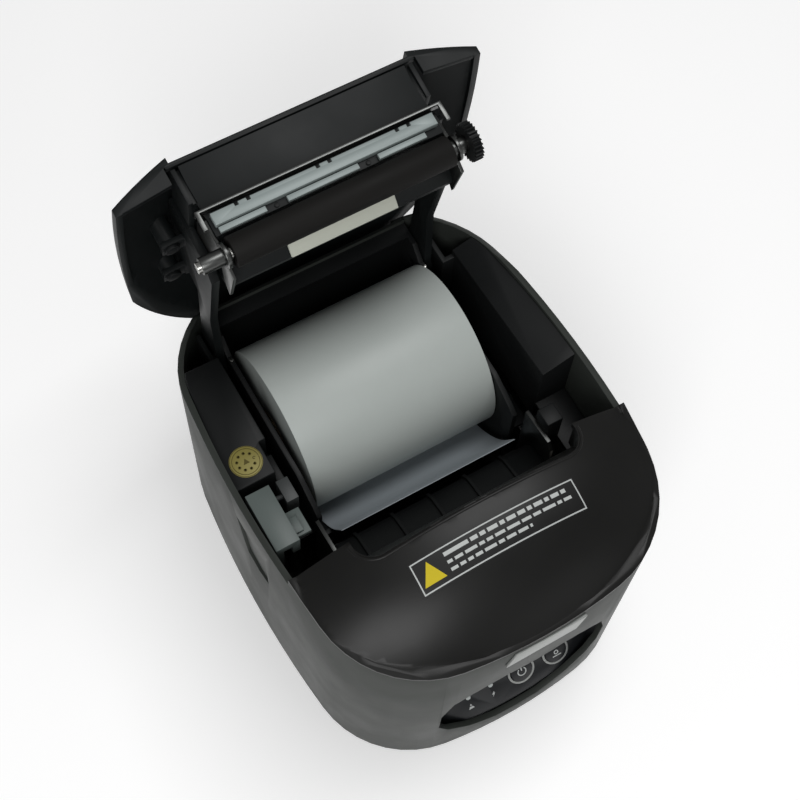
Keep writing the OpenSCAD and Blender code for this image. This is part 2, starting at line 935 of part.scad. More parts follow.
lever_x = -body_w / 2 + 3.7;
lever_y1 = 4;
lever_y0 = lever_y1 - lever_l;
lever_z = 107;
lever_axis_y = 1;
lever_axis_z = 98;
lever_pin_d = 2;
lever_top_t = 4;
lever_side_t = 3;
lever_deep = 18;
lever_shallow = 10;
lever_back = 12;
lever_toe = 6;
step_x = -ledge_x - 2.4;
step_y = lever_y0 + 2.5;
step_l = 10;
step_top = 4;
step_t = 2;

module lever_post() {
  color([0.14, 0.15, 0.15]) {
    // bracket on the trough's flange with the pin that the lever turns on
    difference() {
      block(-flange_x, -ledge_x, -3, 6, flange_z, lever_axis_z + 3);
      rod(lever_pin_d, -far, 0, lever_axis_y, lever_axis_z);
    }
    rod(lever_pin_d, lever_x + 2, -ledge_x - 1, lever_axis_y, lever_axis_z);
  }
}

module latch_lever() {
  color([0.33, 0.37, 0.35])
    difference() {
      union() {
        block(lever_x, lever_x + lever_w, lever_y0, lever_y1, lever_z - lever_top_t, lever_z);
        side_view(lever_x, lever_x + lever_side_t)
          polygon([[lever_y0, lever_z], [lever_y0, lever_z - lever_deep],
            [lever_y0 + lever_toe, lever_z - lever_deep], [lever_y1, lever_z - lever_back],
            [lever_y1, lever_z]]);
        side_view(lever_x + lever_w - lever_side_t, lever_x + lever_w)
          polygon([[lever_y0, lever_z], [lever_y0, lever_z - lever_shallow],
            [lever_y1, lever_z - lever_back], [lever_y1, lever_z]]);
        // step that reaches in towards the roller
        block(lever_x + lever_w - 1, step_x, step_y, step_y + step_l,
          lever_z - step_top - step_t, lever_z - step_top);
        block(lever_x + lever_w - 1, step_x - 2.5, step_y + 1, step_y + step_l - 3,
          lever_z - step_top - 1, lever_z - step_top + 1.4);
      }
      rod(lever_pin_d + 2 * run, -far, 0, lever_axis_y, lever_axis_z);
    }
}

module paper_end_sensor() {
  color([0.2, 0.22, 0.22])
    block(-51, -arm_x0 - 3.8, left_y0, 20, flange_z, 92);
}

module right_block() {
  color([0.08, 0.08, 0.08])
    block(side_x + side_t, 52.7, -22, -14.5, 74, 97);
}

// ---- Front cover ----

recess_y = -43.4;
recess_r = 8.5;
recess_wall = 1.8;
bead_w = 2.2;
bead_h = 1.2;
groove_w = 7;
groove_t = 0.8;
cover_y1 = split_y - gap;

module recess_plan(t) {
  half = recess_w / 2 + t;
  r = recess_r + t;
  translate([-half, recess_y + r]) square([2 * half, far]);
  translate([r - half, recess_y]) square([2 * (half - r), far]);
  for (s = [-1, 1]) translate([s * (half - r), recess_y + r]) circle(r = r);
}

// Layer of height h that lies on the lower casing's edge
module lip_band(h) {
  side_view(-far, far)
    polygon([[-far, seam_at(-far) + gap], [cover_y1, seam_at(cover_y1) + gap],
      [cover_y1, seam_at(cover_y1) + gap + h], [-far, seam_at(-far) + gap + h]]);
}

module front_cover() {
  color([0.2, 0.2, 0.19])
    difference() {
      union() {
        difference() {
          intersection() {
            column(0);
            barrel(cover_y, cover_r, 0);
            side_view(-far, far)
              polygon([[-far, seam_at(-far) + gap], [cover_y1, seam_at(cover_y1) + gap],
                [cover_y1, far], [-far, far]]);
          }
          intersection() {
            column(wall);
            barrel(cover_y, cover_r, wall);
          }
        }
        // bead around the lower edge, and the groove's floor between it and the crown
        intersection() {
          difference() {
            column(0);
            column(bead_w);
          }
          lip_band(bead_h);
        }
        intersection() {
          difference() {
            column(0);
            column(groove_w);
          }
          lip_band(groove_t);
        }
        // walls and sloping floor of the recess
        intersection() {
          column(wall / 2);
          barrel(cover_y, cover_r, wall / 2);
          block(-recess_w / 2 - recess_wall, recess_w / 2 + recess_wall, -far, cover_y1 - 1.2, 0, far);
          side_view(-far, far)
            polygon([[recess_y - 2.6, far], [recess_y - 2.6, 123], [recess_y + 4, 107.6],
              [far, 107.6], [far, far]]);
        }
      }
      intersection() {
        linear_extrude(far) recess_plan(0);
        side_view(-far, far)
          polygon([[recess_y - 1, far], [recess_y - 0.4, 125.5], [recess_y + 6.5, 109.2],
            [recess_y + 6.5, 0], [far, 0], [far, far]]);
      }
    }
}

label_w = 65.6;
label_l = 12.1;
label_y = -63.2;
label_t = 0.15;

module cover_label() {
  color([0.05, 0.05, 0.05])
    difference() {
      intersection() {
        barrel(cover_y, cover_r, -label_t);
        block(-label_w / 2, label_w / 2, label_y, label_y + label_l, crown_z / 2, far);
      }
      barrel(cover_y, cover_r, 0);
    }
}

// ---- Lid ----

lid_y0 = split_y + parting;
lid_boss_x = body_w / 2 - 17.7;
lid_boss_ys = [0, 25];
lid_boss_z = crown_z - 21.5;
lid_boss_d = 7;
tab_t = 2;
scoop_z = crown_z - 8.6;
scoop_y1 = -11;
scoop_wall = 1.7;
cheek_t = 1.6;

module above_rim() {
  side_view(-far, far)
    polygon([[lid_y0, rim_at(lid_y0) + parting], [lid_y0, far], [far, far],
      [far, rim_at(far) + parting]]);
}

// Side view of the scoop in the lid's front edge, moved down and back by t
module scoop(t) {
  polygon([[-far, scoop_z - t], [lid_y0 + 0.5 + t, scoop_z - t], [scoop_y1 + t, crown_z + 0.5 - t],
    [scoop_y1 + t, far], [-far, far]]);
}

module lid_shell() {
  color([0.12, 0.13, 0.13])
    open_lid() {
      difference() {
        intersection() {
          column(0);
          barrel(lid_y, lid_r, 0);
          above_rim();
        }
        side_view(-recess_w / 2, recess_w / 2) scoop(0);
        difference() {
          intersection() {
            column(wall);
            barrel(lid_y, lid_r, wall);
          }
          // end wall at each side of the paper's way out
          both()
            rotate([90, 0, 0]) translate([0, 0, -lid_y0 - wall])
              linear_extrude(wall + 1)
                polygon([[lens_x, far], [lens_x, crown_z - 16], [body_w / 2 - 3, rim_z + 0.6], [far, rim_z + 0.6],
                [far, far]]);
        }
      }
      // walls of the scoop
      intersection() {
        barrel(lid_y, lid_r, 0);
        above_rim();
        union() {
          side_view(-recess_w / 2 - scoop_wall, recess_w / 2 + scoop_wall)
            difference() {
              scoop(scoop_wall);
              scoop(0);
            }
          both() side_view(recess_w / 2, recess_w / 2 + scoop_wall) scoop(scoop_wall);
        }
      }
      intersection() {
        barrel(lid_y, lid_r, wall / 2);
        both()
          for (y = lid_boss_ys)
            translate([lid_boss_x, y, lid_boss_z])
              difference() {
                cylinder(d = lid_boss_d, h = far);
                translate([0, 0, -1]) cylinder(d = screw_d + fit, h = lid_screw_l);
              }
      }
    }
}

// Outline of the moulding that carries the roller and the blade
module beak_outline() {
  polygon(concat(
    [[-28.2, 118.2], [-32, 118.2], [-30.4, 112.5], [-31.2, 104.4], [-31.6, 100], [-31.6, 90.8], [-27.2, 90.6], [-24.8, 87.5],
     [-19, 84.2], [-15, 79.4], [-12.5, 79.6], [-9, 84.5]],
    arc([bucket_y, inner_z], inner_r, 170, 122, 10),
    arc([bucket_y, inner_z], inner_r + 2, 122, 121, 1)));
}

module beak_hollow() {
  polygon(concat(
    [[-28.2, 125], [-28.2, 112.5], [-29.2, 104.6], [-29.6, 100], [-29.6, 92.8], [-26.3, 92.4], [-23.5, 89.2],
     [-18, 86], [-14.6, 82], [-13.4, 82], [-10, 86.5]],
    arc([bucket_y, inner_z], inner_r + 2, 168, 121, 10),
    [[10, 125]]));
}

module cheek() {
  difference() {
    union() {
      side_view(arm_x0, arm_x1)
        polygon([[-12.5, 117.2], [0, crown_z - 12.8], [18, cheek_top_z], [24, 96], [62, 93],
          [hinge_y, hinge_z + eye_d / 2], [hinge_y, hinge_z - eye_d / 2 + 1], [33.4, 86.5],
          [-6, 85.6], [-12.5, 92.2]]);
      side_view(arm_x0, arm_x0 + cheek_t)
        polygon([[-31.3, side_z + 0.8], [-31.9, 117.9], [-12, 117.2], [-12, side_z + 0.8]]);
      rod(eye_d, arm_x0, arm_x1, hinge_y, hinge_z);
      // bridge to the beak above the mechanism's side plates
      side_view(beak_x - 0.5, arm_x0 + 0.5)
        polygon([[-30, side_z + 0.8], [-29.5, 118], [0, 116], [8, 109], [0, side_z + 0.8]]);
      // tabs under the bosses of the shell
      for (y = lid_boss_ys)
        difference() {
          block(arm_x1 - 1, lid_boss_x + lid_boss_d / 2, y - lid_boss_d / 2, y + lid_boss_d / 2,
            lid_boss_z - tab_t, lid_boss_z);
          translate([lid_boss_x, y, 0]) cylinder(d = screw_d + fit, h = far);
        }
      side_view(arm_x0, arm_x1)
        polygon([[16, cheek_top_z], [30, cheek_top_z - 3.4], [30, lid_boss_z - tab_t], [16, 100]]);
    }
    rod(pin_d + 2 * run, 0, far, hinge_y, hinge_z);
  }
}

module lid_inner() {
  color([0.1, 0.11, 0.11])
    open_lid() {
      side_view(-beak_x, beak_x)
        difference() {
          beak_outline();
          beak_hollow();
        }
      both() cheek();
    }
}

module lid_screws() {
  color([0.6, 0.6, 0.6])
    open_lid()
      both()
        for (y = lid_boss_ys)
          translate([lid_boss_x, y, lid_boss_z - tab_t]) {
            translate([0, 0, -lid_screw_head_h]) cylinder(d = screw_head_d, h = lid_screw_head_h);
            cylinder(d = screw_d, h = lid_screw_l);
          }
}

module tear_plate() {
  color([0.7, 0.72, 0.72])
    open_lid() {
      block(-tear_w / 2, tear_w / 2, tear_y, beak_face_y, tear_z, tear_z + tear_t);
      both() block(tear_w / 2 - tear_tab_w, tear_w / 2, tear_y, tear_y + tear_t, tear_tab_z, tear_z);
    }
}

module fixed_blade() {
  color([0.55, 0.58, 0.56])
    open_lid()
      difference() {
        block(-fixed_w / 2, fixed_w / 2, beak_face_y - fixed_t, beak_face_y, fixed_z0, fixed_z1);
        for (x = slit_xs)
          for (s = [-1, 1] * (slit_gap + slit_w) / 2)
            block(x + s - slit_w / 2, x + s + slit_w / 2, -far, far, fixed_z1 - 1.2, far);
      }
}

module guide_strips() {
  color([0.5, 0.52, 0.52])
    open_lid()
      for (s = strips)
        block(s[0], s[1], beak_face_y - strip_t, beak_face_y, strip_z0, strip_z1);
}

module blade_screws() {
  color([0.66, 0.66, 0.66])
    open_lid()
      for (x = small_screw_xs)
        translate([x, beak_face_y, (strip_z0 + strip_z1) / 2])
          rotate([90, 0, 0]) cylinder(d = small_head_d, h = small_head_h);
}

module hook_brackets() {
  color([0.6, 0.62, 0.62])
    open_lid()
      both()
        difference() {
          union() {
            side_view(beak_x, beak_x + bracket_t)
              polygon([[-30.5, 98], [-30.5, 88], [-26, 77], [-8.5, 78.5], [-11.7, 82.1],
                [-20.6, 85.4], [-10, 92], [0, 100], [0, 103], [-20, 103]]);
            rod(bracket_eye_d, beak_x, beak_x + bracket_t, platen_y, platen_z);
          }
          rod(sleeve_d, 0, far, platen_y, platen_z);
        }
}

module wiper_pad() {
  color([0.78, 0.77, 0.66])
    open_lid()
      side_view(-pad_w / 2, pad_w / 2)
        polygon([[-19, 84.2], [-15, 79.4], [-16, 78.6], [-20, 83.4]]);
}

module platen_sleeves() {
  color([0.75, 0.76, 0.76])
    open_lid()
      difference() {
        union() {
          rod(sleeve_d, -sleeve_end_x, -platen_w / 2 - 0.6, platen_y, platen_z);
          rod(sleeve_d, platen_w / 2 + 0.6, gear_x - 0.5, platen_y, platen_z);
        }
        rod(core_rod_d + 2 * run, -far, far, platen_y, platen_z);
      }
}

module platen_shaft() {
  color([0.74, 0.75, 0.76])
    open_lid() rod(core_rod_d, -shaft_end_x, gear_x + gear_w + 0.4, platen_y, platen_z);
}

module platen_rubber() {
  color([0.09, 0.09, 0.09])
    open_lid()
      difference() {
        rod(platen_d, -platen_w / 2, platen_w / 2, platen_y, platen_z);
        rod(core_rod_d, -far, far, platen_y, platen_z);
      }
}

module platen_gear() {
  color([0.1, 0.1, 0.1]) open_lid() gear(gear_n, core_rod_d, gear_x, platen_y, platen_z);
}

// ---- Paper ----

roll_shift = 1.3;

module roll_core() {
  color([0.6, 0.5, 0.36])
    difference() {
      rod(core_d, roll_shift - roll_w / 2, roll_shift + roll_w / 2, bucket_y, roll_z);
      rod(core_d - 2 * core_t, -far, far, bucket_y, roll_z);
    }
}

module paper_roll() {
  color([0.95, 0.96, 0.96])
    difference() {
      rod(roll_d, roll_shift - roll_w / 2, roll_shift + roll_w / 2, bucket_y, roll_z);
      rod(core_d, -far, far, bucket_y, roll_z);
    }
}

// Free end of the paper, along the trough's front and up towards the roller
tail_out = front_r - 0.1;
tail_steps = 24;
tail_turn = (tail_a1 - tail_a0) / tail_steps;

function tail_point(r, i) = -r * [sin(tail_a0 + tail_turn * i), cos(tail_a0 + tail_turn * i)];

module paper_tail() {
  low = [for (i = [0:tail_steps]) tail_point(tail_out, i)];
  high = [for (i = [tail_steps:-1:0]) tail_point(tail_out - tail_t, i)];
  ahead = tail_ahead * [-cos(tail_a1), sin(tail_a1)];
  color([0.93, 0.95, 0.95])
    translate([roll_shift, bucket_y, front_z])
      side_view(-tail_w / 2, tail_w / 2)
        polygon(concat(low, [low[tail_steps] + ahead, high[0] + ahead], high));
}
base_plate();
rubber_feet();
base_screws();
lower_shell();
paper_bucket();
left_ledge();
right_ledge();
hinge_pins();
hinge_pin_caps();
mech_sides();
mech_base();
heatsink();
print_head();
paper_guide();
feed_motor();
motor_pinion();
idler_axle();
idler_gear();
cutter_frame();
cutter_motor();
cutter_knob();
moving_blade();
main_board();
power_inlet();
usb_port();
lan_port();
drawer_port();
front_panel();
panel_board();
button_rings();
feed_button();
power_button();
led_pipes();
badge();
gold_sticker();
lever_post();
latch_lever();
paper_end_sensor();
right_block();
front_cover();
cover_label();
lid_shell();
lid_inner();
lid_screws();
tear_plate();
fixed_blade();
guide_strips();
blade_screws();
hook_brackets();
wiper_pad();
platen_sleeves();
platen_shaft();
platen_rubber();
platen_gear();
roll_core();
paper_roll();
paper_tail();
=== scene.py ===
import json
import math
import random

import bmesh
import bpy
from mathutils import Matrix, Vector


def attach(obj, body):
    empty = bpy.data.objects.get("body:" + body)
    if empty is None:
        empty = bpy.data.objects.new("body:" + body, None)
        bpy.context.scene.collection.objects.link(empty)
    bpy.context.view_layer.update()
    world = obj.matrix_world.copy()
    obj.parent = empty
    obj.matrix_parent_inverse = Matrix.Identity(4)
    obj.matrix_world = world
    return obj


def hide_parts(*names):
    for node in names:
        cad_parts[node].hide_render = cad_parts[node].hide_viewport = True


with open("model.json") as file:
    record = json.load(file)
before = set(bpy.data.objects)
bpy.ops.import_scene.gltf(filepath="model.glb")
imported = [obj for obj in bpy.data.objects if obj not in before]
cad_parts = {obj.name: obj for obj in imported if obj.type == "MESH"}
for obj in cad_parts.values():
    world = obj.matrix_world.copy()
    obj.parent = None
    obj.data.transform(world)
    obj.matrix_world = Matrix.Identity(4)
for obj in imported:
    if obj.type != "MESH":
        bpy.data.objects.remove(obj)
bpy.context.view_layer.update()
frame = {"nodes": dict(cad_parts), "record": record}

MM = 0.001
NODES = frame["nodes"]
BODY_OF = {n: b for b, ns in frame["record"]["behaviour"]["bodies"].items() for n in ns}

# Sizes of the solids that the printed marks lie on, in mm
BODY_D = 182.0                        # depth of the body
CROWN_Z, ARCH_R = 129.0, 160.0        # the front cover's crown: height, radius from side to side
COVER_R, COVER_Y = 68.0, -40.7        # and its radius from front to back, place of its crest
RECESS_HALF, RECESS_CORNER, RECESS_FRONT = 45.0, 8.5, -43.4  # paper recess in the front cover
PANEL_Z, PANEL_TILT = 12.2, math.radians(38)                 # foot and tilt of the control deck
BUTTON_V, FEED_X, POWER_X = 14.6, 21.5, 5.6                  # buttons on the deck
BUTTON_OUT = 1.1                      # how far a button's face stands out of the deck
LED_V, LED_XS = 15.4, (-8.0, -18.2)   # light pipes on the deck
LEDGE_Z = 102.4                       # top of the left ledge
LABEL = (-32.8, 32.8, -63.2, -51.1)   # cover label: left, right, front and back edge
STICKER_X, STICKER_Y = -58.8, 17.5    # middle of the round sticker
ROLL_Y, ROLL_Z = 0.0368, 0.070        # axis of the paper roll, in metres


def placed(p):
    """A point in mm as a vector in metres."""
    return Vector(p) * MM


# ---------------------------------------------------------------- materials

def new_material(name):
    """A new node material, its tree and its main shader."""
    m = bpy.data.materials.new(name)
    m.use_nodes = True
    nt = m.node_tree
    return m, nt, nt.nodes["Principled BSDF"]


def add(nt, kind, **values):
    """A shader node of that kind, with its inputs and settings by name."""
    n = nt.nodes.new(kind)
    for k, v in values.items():
        if k in n.inputs:
            n.inputs[k].default_value = v
        else:
            setattr(n, k, v)
    return n


def mix_colour(nt, factor, a, b):
    """Output that goes from colour a to colour b; a may be another node's output."""
    n = nt.nodes.new("ShaderNodeMix")
    n.data_type = "RGBA"
    if isinstance(a, bpy.types.NodeSocket):
        nt.links.new(a, n.inputs["A"])
    else:
        n.inputs["A"].default_value = (*a, 1)
    n.inputs["B"].default_value = (*b, 1)
    nt.links.new(factor, n.inputs["Factor"])
    return n.outputs["Result"]


def math_node(nt, operation, a, b=None):
    """Output of a math node; a and b are outputs or numbers."""
    n = add(nt, "ShaderNodeMath", operation=operation)
    for value, socket in zip((a, b), n.inputs):
        if isinstance(value, bpy.types.NodeSocket):
            nt.links.new(value, socket)
        elif value is not None:
            socket.default_value = value
    return n.outputs["Value"]


BUMP_DEPTH = 0.0002                   # metres
MOTTLE_SCALE = 38.0                   # size of the soft patches in colour and gloss
WINDING_SCALE = 2600.0                # fineness of the edges of the wound paper
END_FACE = 0.7                        # a face that looks this much along X is an end of the roll
FIBRE_SHADE, WINDING_SHADE = 0.955, 0.55


def surface(name, colour, rough, rough_var=0.06, grain=900, bump=0.04, vary=0.12,
            metallic=0.0, specular=0.5, stretch=(1, 1, 1)):
    """Moulded or rolled material: mottled colour, uneven gloss and a fine grain."""
    m, nt, bsdf = new_material(name)
    at = add(nt, "ShaderNodeTexCoord").outputs["Object"]
    mapping = add(nt, "ShaderNodeMapping")
    mapping.inputs["Scale"].default_value = stretch
    nt.links.new(at, mapping.inputs["Vector"])
    at = mapping.outputs["Vector"]
    broad = add(nt, "ShaderNodeTexNoise", Scale=MOTTLE_SCALE, Detail=3.0, Roughness=0.55)
    fine = add(nt, "ShaderNodeTexNoise", Scale=float(grain), Detail=2.0, Roughness=0.5)
    for n in (broad, fine):
        nt.links.new(at, n.inputs["Vector"])
    dark = [c * (1 - vary) for c in colour]
    light = [min(1, c * (1 + vary)) for c in colour]
    nt.links.new(mix_colour(nt, broad.outputs["Fac"], dark, light), bsdf.inputs["Base Color"])
    gloss = add(nt, "ShaderNodeMapRange")
    gloss.inputs["From Min"].default_value = 0.3
    gloss.inputs["From Max"].default_value = 0.7
    gloss.inputs["To Min"].default_value = max(0.02, rough - rough_var)
    gloss.inputs["To Max"].default_value = rough + rough_var
    nt.links.new(broad.outputs["Fac"], gloss.inputs["Value"])
    nt.links.new(gloss.outputs["Result"], bsdf.inputs["Roughness"])
    relief = add(nt, "ShaderNodeBump", Strength=bump, Distance=BUMP_DEPTH)
    nt.links.new(fine.outputs["Fac"], relief.inputs["Height"])
    nt.links.new(relief.outputs["Normal"], bsdf.inputs["Normal"])
    bsdf.inputs["Metallic"].default_value = metallic
    bsdf.inputs["Specular IOR Level"].default_value = specular
    return m


def winding_lines(nt, at, axis_y, axis_z):
    """Factor of the fine rings on the end faces of a roll that lies along X."""
    sep = add(nt, "ShaderNodeSeparateXYZ")
    nt.links.new(at, sep.inputs["Vector"])
    from_axis = add(nt, "ShaderNodeCombineXYZ")
    nt.links.new(math_node(nt, "SUBTRACT", sep.outputs["Y"], axis_y), from_axis.inputs["X"])
    nt.links.new(math_node(nt, "SUBTRACT", sep.outputs["Z"], axis_z), from_axis.inputs["Y"])
    length = add(nt, "ShaderNodeVectorMath", operation="LENGTH")
    nt.links.new(from_axis.outputs["Vector"], length.inputs[0])
    rings = add(nt, "ShaderNodeTexNoise", Scale=WINDING_SCALE, Detail=3.0, Roughness=0.7)
    rings.noise_dimensions = "1D"
    nt.links.new(length.outputs["Value"], rings.inputs["W"])
    normal = add(nt, "ShaderNodeNewGeometry")
    turn = add(nt, "ShaderNodeVectorTransform", vector_type="NORMAL", convert_from="WORLD",
               convert_to="OBJECT")
    nt.links.new(normal.outputs["Normal"], turn.inputs["Vector"])
    side = add(nt, "ShaderNodeSeparateXYZ")
    nt.links.new(turn.outputs["Vector"], side.inputs["Vector"])
    on_end = math_node(nt, "GREATER_THAN", math_node(nt, "ABSOLUTE", side.outputs["X"]), END_FACE)
    return math_node(nt, "MULTIPLY", rings.outputs["Fac"], on_end)


def paper_material(name, colour, wound=False):
    """Thermal paper: smooth and faintly glossy, with the edges of its windings if it is wound."""
    m, nt, bsdf = new_material(name)
    at = add(nt, "ShaderNodeTexCoord").outputs["Object"]
    fibres = add(nt, "ShaderNodeTexNoise", Scale=220.0, Detail=4.0, Roughness=0.6)
    nt.links.new(at, fibres.inputs["Vector"])
    base = mix_colour(nt, fibres.outputs["Fac"], [c * FIBRE_SHADE for c in colour], colour)
    if wound:
        lines = winding_lines(nt, at, ROLL_Y, ROLL_Z)
        base = mix_colour(nt, lines, base, [c * WINDING_SHADE for c in colour])
    nt.links.new(base, bsdf.inputs["Base Color"])
    relief = add(nt, "ShaderNodeBump", Strength=0.05, Distance=BUMP_DEPTH)
    nt.links.new(fibres.outputs["Fac"], relief.inputs["Height"])
    nt.links.new(relief.outputs["Normal"], bsdf.inputs["Normal"])
    bsdf.inputs["Roughness"].default_value = 0.42
    bsdf.inputs["Specular IOR Level"].default_value = 0.35
    return m


M = {
    "case_plastic": surface("case_plastic", (0.036, 0.040, 0.036), 0.46, grain=2600, bump=0.05,
                            specular=0.16),
    "cover_plastic": surface("cover_plastic", (0.0080, 0.0080, 0.0076), 0.36, grain=2600, bump=0.03,
                             rough_var=0.03, specular=0.24),
    "lid_plastic": surface("lid_plastic", (0.0070, 0.0084, 0.0086), 0.46, grain=2200, bump=0.05,
                           specular=0.2),
    "black_plastic": surface("black_plastic", (0.0080, 0.0088, 0.0090), 0.48, grain=2200, bump=0.06,
                             specular=0.2),
    "dark_plastic": surface("dark_plastic", (0.03, 0.032, 0.03), 0.6, grain=1800, bump=0.08,
                            specular=0.3),
    "rubber": surface("rubber", (0.0090, 0.0086, 0.0080), 0.62, grain=3000, bump=0.12, vary=0.2,
                      specular=0.12),
    "steel": surface("steel", (0.11, 0.113, 0.11), 0.34, metallic=1.0, grain=1500, bump=0.03,
                     stretch=(0.15, 1, 1)),
    "bright_steel": surface("bright_steel", (0.42, 0.42, 0.40), 0.26, metallic=1.0, grain=1500,
                            bump=0.03, stretch=(1, 0.2, 1)),
    "aluminium": surface("aluminium", (0.35, 0.36, 0.36), 0.35, metallic=1.0, grain=1500, bump=0.03),
    "ceramic": surface("ceramic", (0.30, 0.29, 0.25), 0.3, grain=1200, bump=0.02),
    "brass": surface("brass", (0.5, 0.37, 0.17), 0.3, metallic=1.0, grain=1500, bump=0.03),
    "ivory_plastic": surface("ivory_plastic", (0.5, 0.48, 0.42), 0.4, grain=1800, bump=0.04),
    "board": surface("board", (0.02, 0.11, 0.04), 0.35, grain=900, bump=0.05, vary=0.25),
    "gloss_black": surface("gloss_black", (0.0125, 0.0135, 0.0150), 0.34, grain=700, bump=0.006,
                           rough_var=0.03, specular=0.3),
    "silver_trim": surface("silver_trim", (0.30, 0.31, 0.30), 0.38, metallic=0.35, grain=2600,
                           bump=0.05),
    "clear_plastic": surface("clear_plastic", (0.40, 0.43, 0.42), 0.25, grain=900, bump=0.02),
    "gold_foil": surface("gold_foil", (0.22, 0.19, 0.043), 0.5, metallic=0.15, grain=1400, bump=0.08,
                         vary=0.2),
    "grey_plastic": surface("grey_plastic", (0.040, 0.044, 0.044), 0.45, grain=2000, bump=0.06,
                            specular=0.4),
    "lever_grey": surface("lever_grey", (0.098, 0.118, 0.112), 0.42, grain=1800, bump=0.05,
                          specular=0.35),
    "label_film": surface("label_film", (0.0065, 0.0065, 0.0065), 0.42, grain=900, bump=0.02,
                          specular=0.3),
    "blade_grey": surface("blade_grey", (0.26, 0.30, 0.295), 0.42, metallic=0.1, grain=1800,
                          bump=0.04, stretch=(0.2, 1, 1), specular=0.4),
    "felt": surface("felt", (0.56, 0.58, 0.50), 0.7, grain=1600, bump=0.35, vary=0.08),
    "card": surface("card", (0.32, 0.24, 0.16), 0.7, grain=700, bump=0.2, vary=0.2),
    "paper": paper_material("paper", (0.40, 0.44, 0.47)),
    "paper_wound": paper_material("paper_wound", (0.44, 0.475, 0.455), wound=True),
    "white_ink": surface("white_ink", (0.50, 0.52, 0.51), 0.5, grain=900, bump=0.02, specular=0.2),
    "yellow_ink": surface("yellow_ink", (0.58, 0.46, 0.015), 0.5, grain=900, bump=0.02,
                          specular=0.2),
    "dark_ink": surface("dark_ink", (0.085, 0.070, 0.016), 0.6, grain=900, bump=0.02, specular=0.2),
}


# ---------------------------------------------------------------- pieces

JOIN_WITHIN = 2e-6                    # metres, between corners that are the same corner
FLAT_WITHIN = math.radians(0.6)       # between faces that are one flat face
BEVEL_ABOVE = math.radians(35)        # edges sharper than this are rounded
SMOOTH_BELOW = 32                     # degrees, shading is smooth over flatter edges


def link(name, mesh):
    """An object of that mesh, in the scene."""
    o = bpy.data.objects.new(name, mesh)
    bpy.context.scene.collection.objects.link(o)
    return o


def settle(o):
    """Puts an object's modifiers into its mesh."""
    bpy.context.view_layer.update()
    done = bpy.data.meshes.new_from_object(
        o.evaluated_get(bpy.context.evaluated_depsgraph_get()))
    o.modifiers.clear()
    old = o.data
    o.data = done
    bpy.data.meshes.remove(old)


def smooth(o, angle=SMOOTH_BELOW):
    """Smooth shading, but for edges sharper than angle."""
    me = o.data
    me.polygons.foreach_set("use_smooth", [True] * len(me.polygons))
    me.set_sharp_from_angle(angle=math.radians(angle))


def clean_copy(node, name):
    """The node's mesh with its split corners joined and its flat faces whole."""
    me = NODES[node].data.copy()
    me.name = name
    me.materials.clear()
    bm = bmesh.new()
    bm.from_mesh(me)
    bmesh.ops.remove_doubles(bm, verts=bm.verts, dist=JOIN_WITHIN)
    bmesh.ops.dissolve_degenerate(bm, dist=JOIN_WITHIN, edges=bm.edges)
    bmesh.ops.dissolve_limit(bm, angle_limit=FLAT_WITHIN, verts=bm.verts, edges=bm.edges)
    bm.to_mesh(me)
    bm.free()
    return link(name, me)


def round_edges(o, width):
    """Rounds the object's sharp edges, width in mm."""
    m = o.modifiers.new("edges", "BEVEL")
    m.width = width * MM
    m.segments = 2
    m.limit_method = "ANGLE"
    m.angle_limit = BEVEL_ABOVE
    m.use_clamp_overlap = True
    m.harden_normals = False
    m.miter_outer = "MITER_ARC"
    settle(o)


def dress(node, material, edge):
    """A copy of a CAD node with rounded edges and a material, which stands for the node."""
    o = clean_copy(node, node + "_look")
    if edge:
        round_edges(o, edge)
    smooth(o)
    o.data.materials.append(M[material])
    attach(o, BODY_OF[node])
    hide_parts(node)


def piece(name, mesh, material, body):
    """A new piece that rides on a body."""
    o = link(name, mesh)
    mesh.materials.append(M[material])
    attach(o, body)
    return o


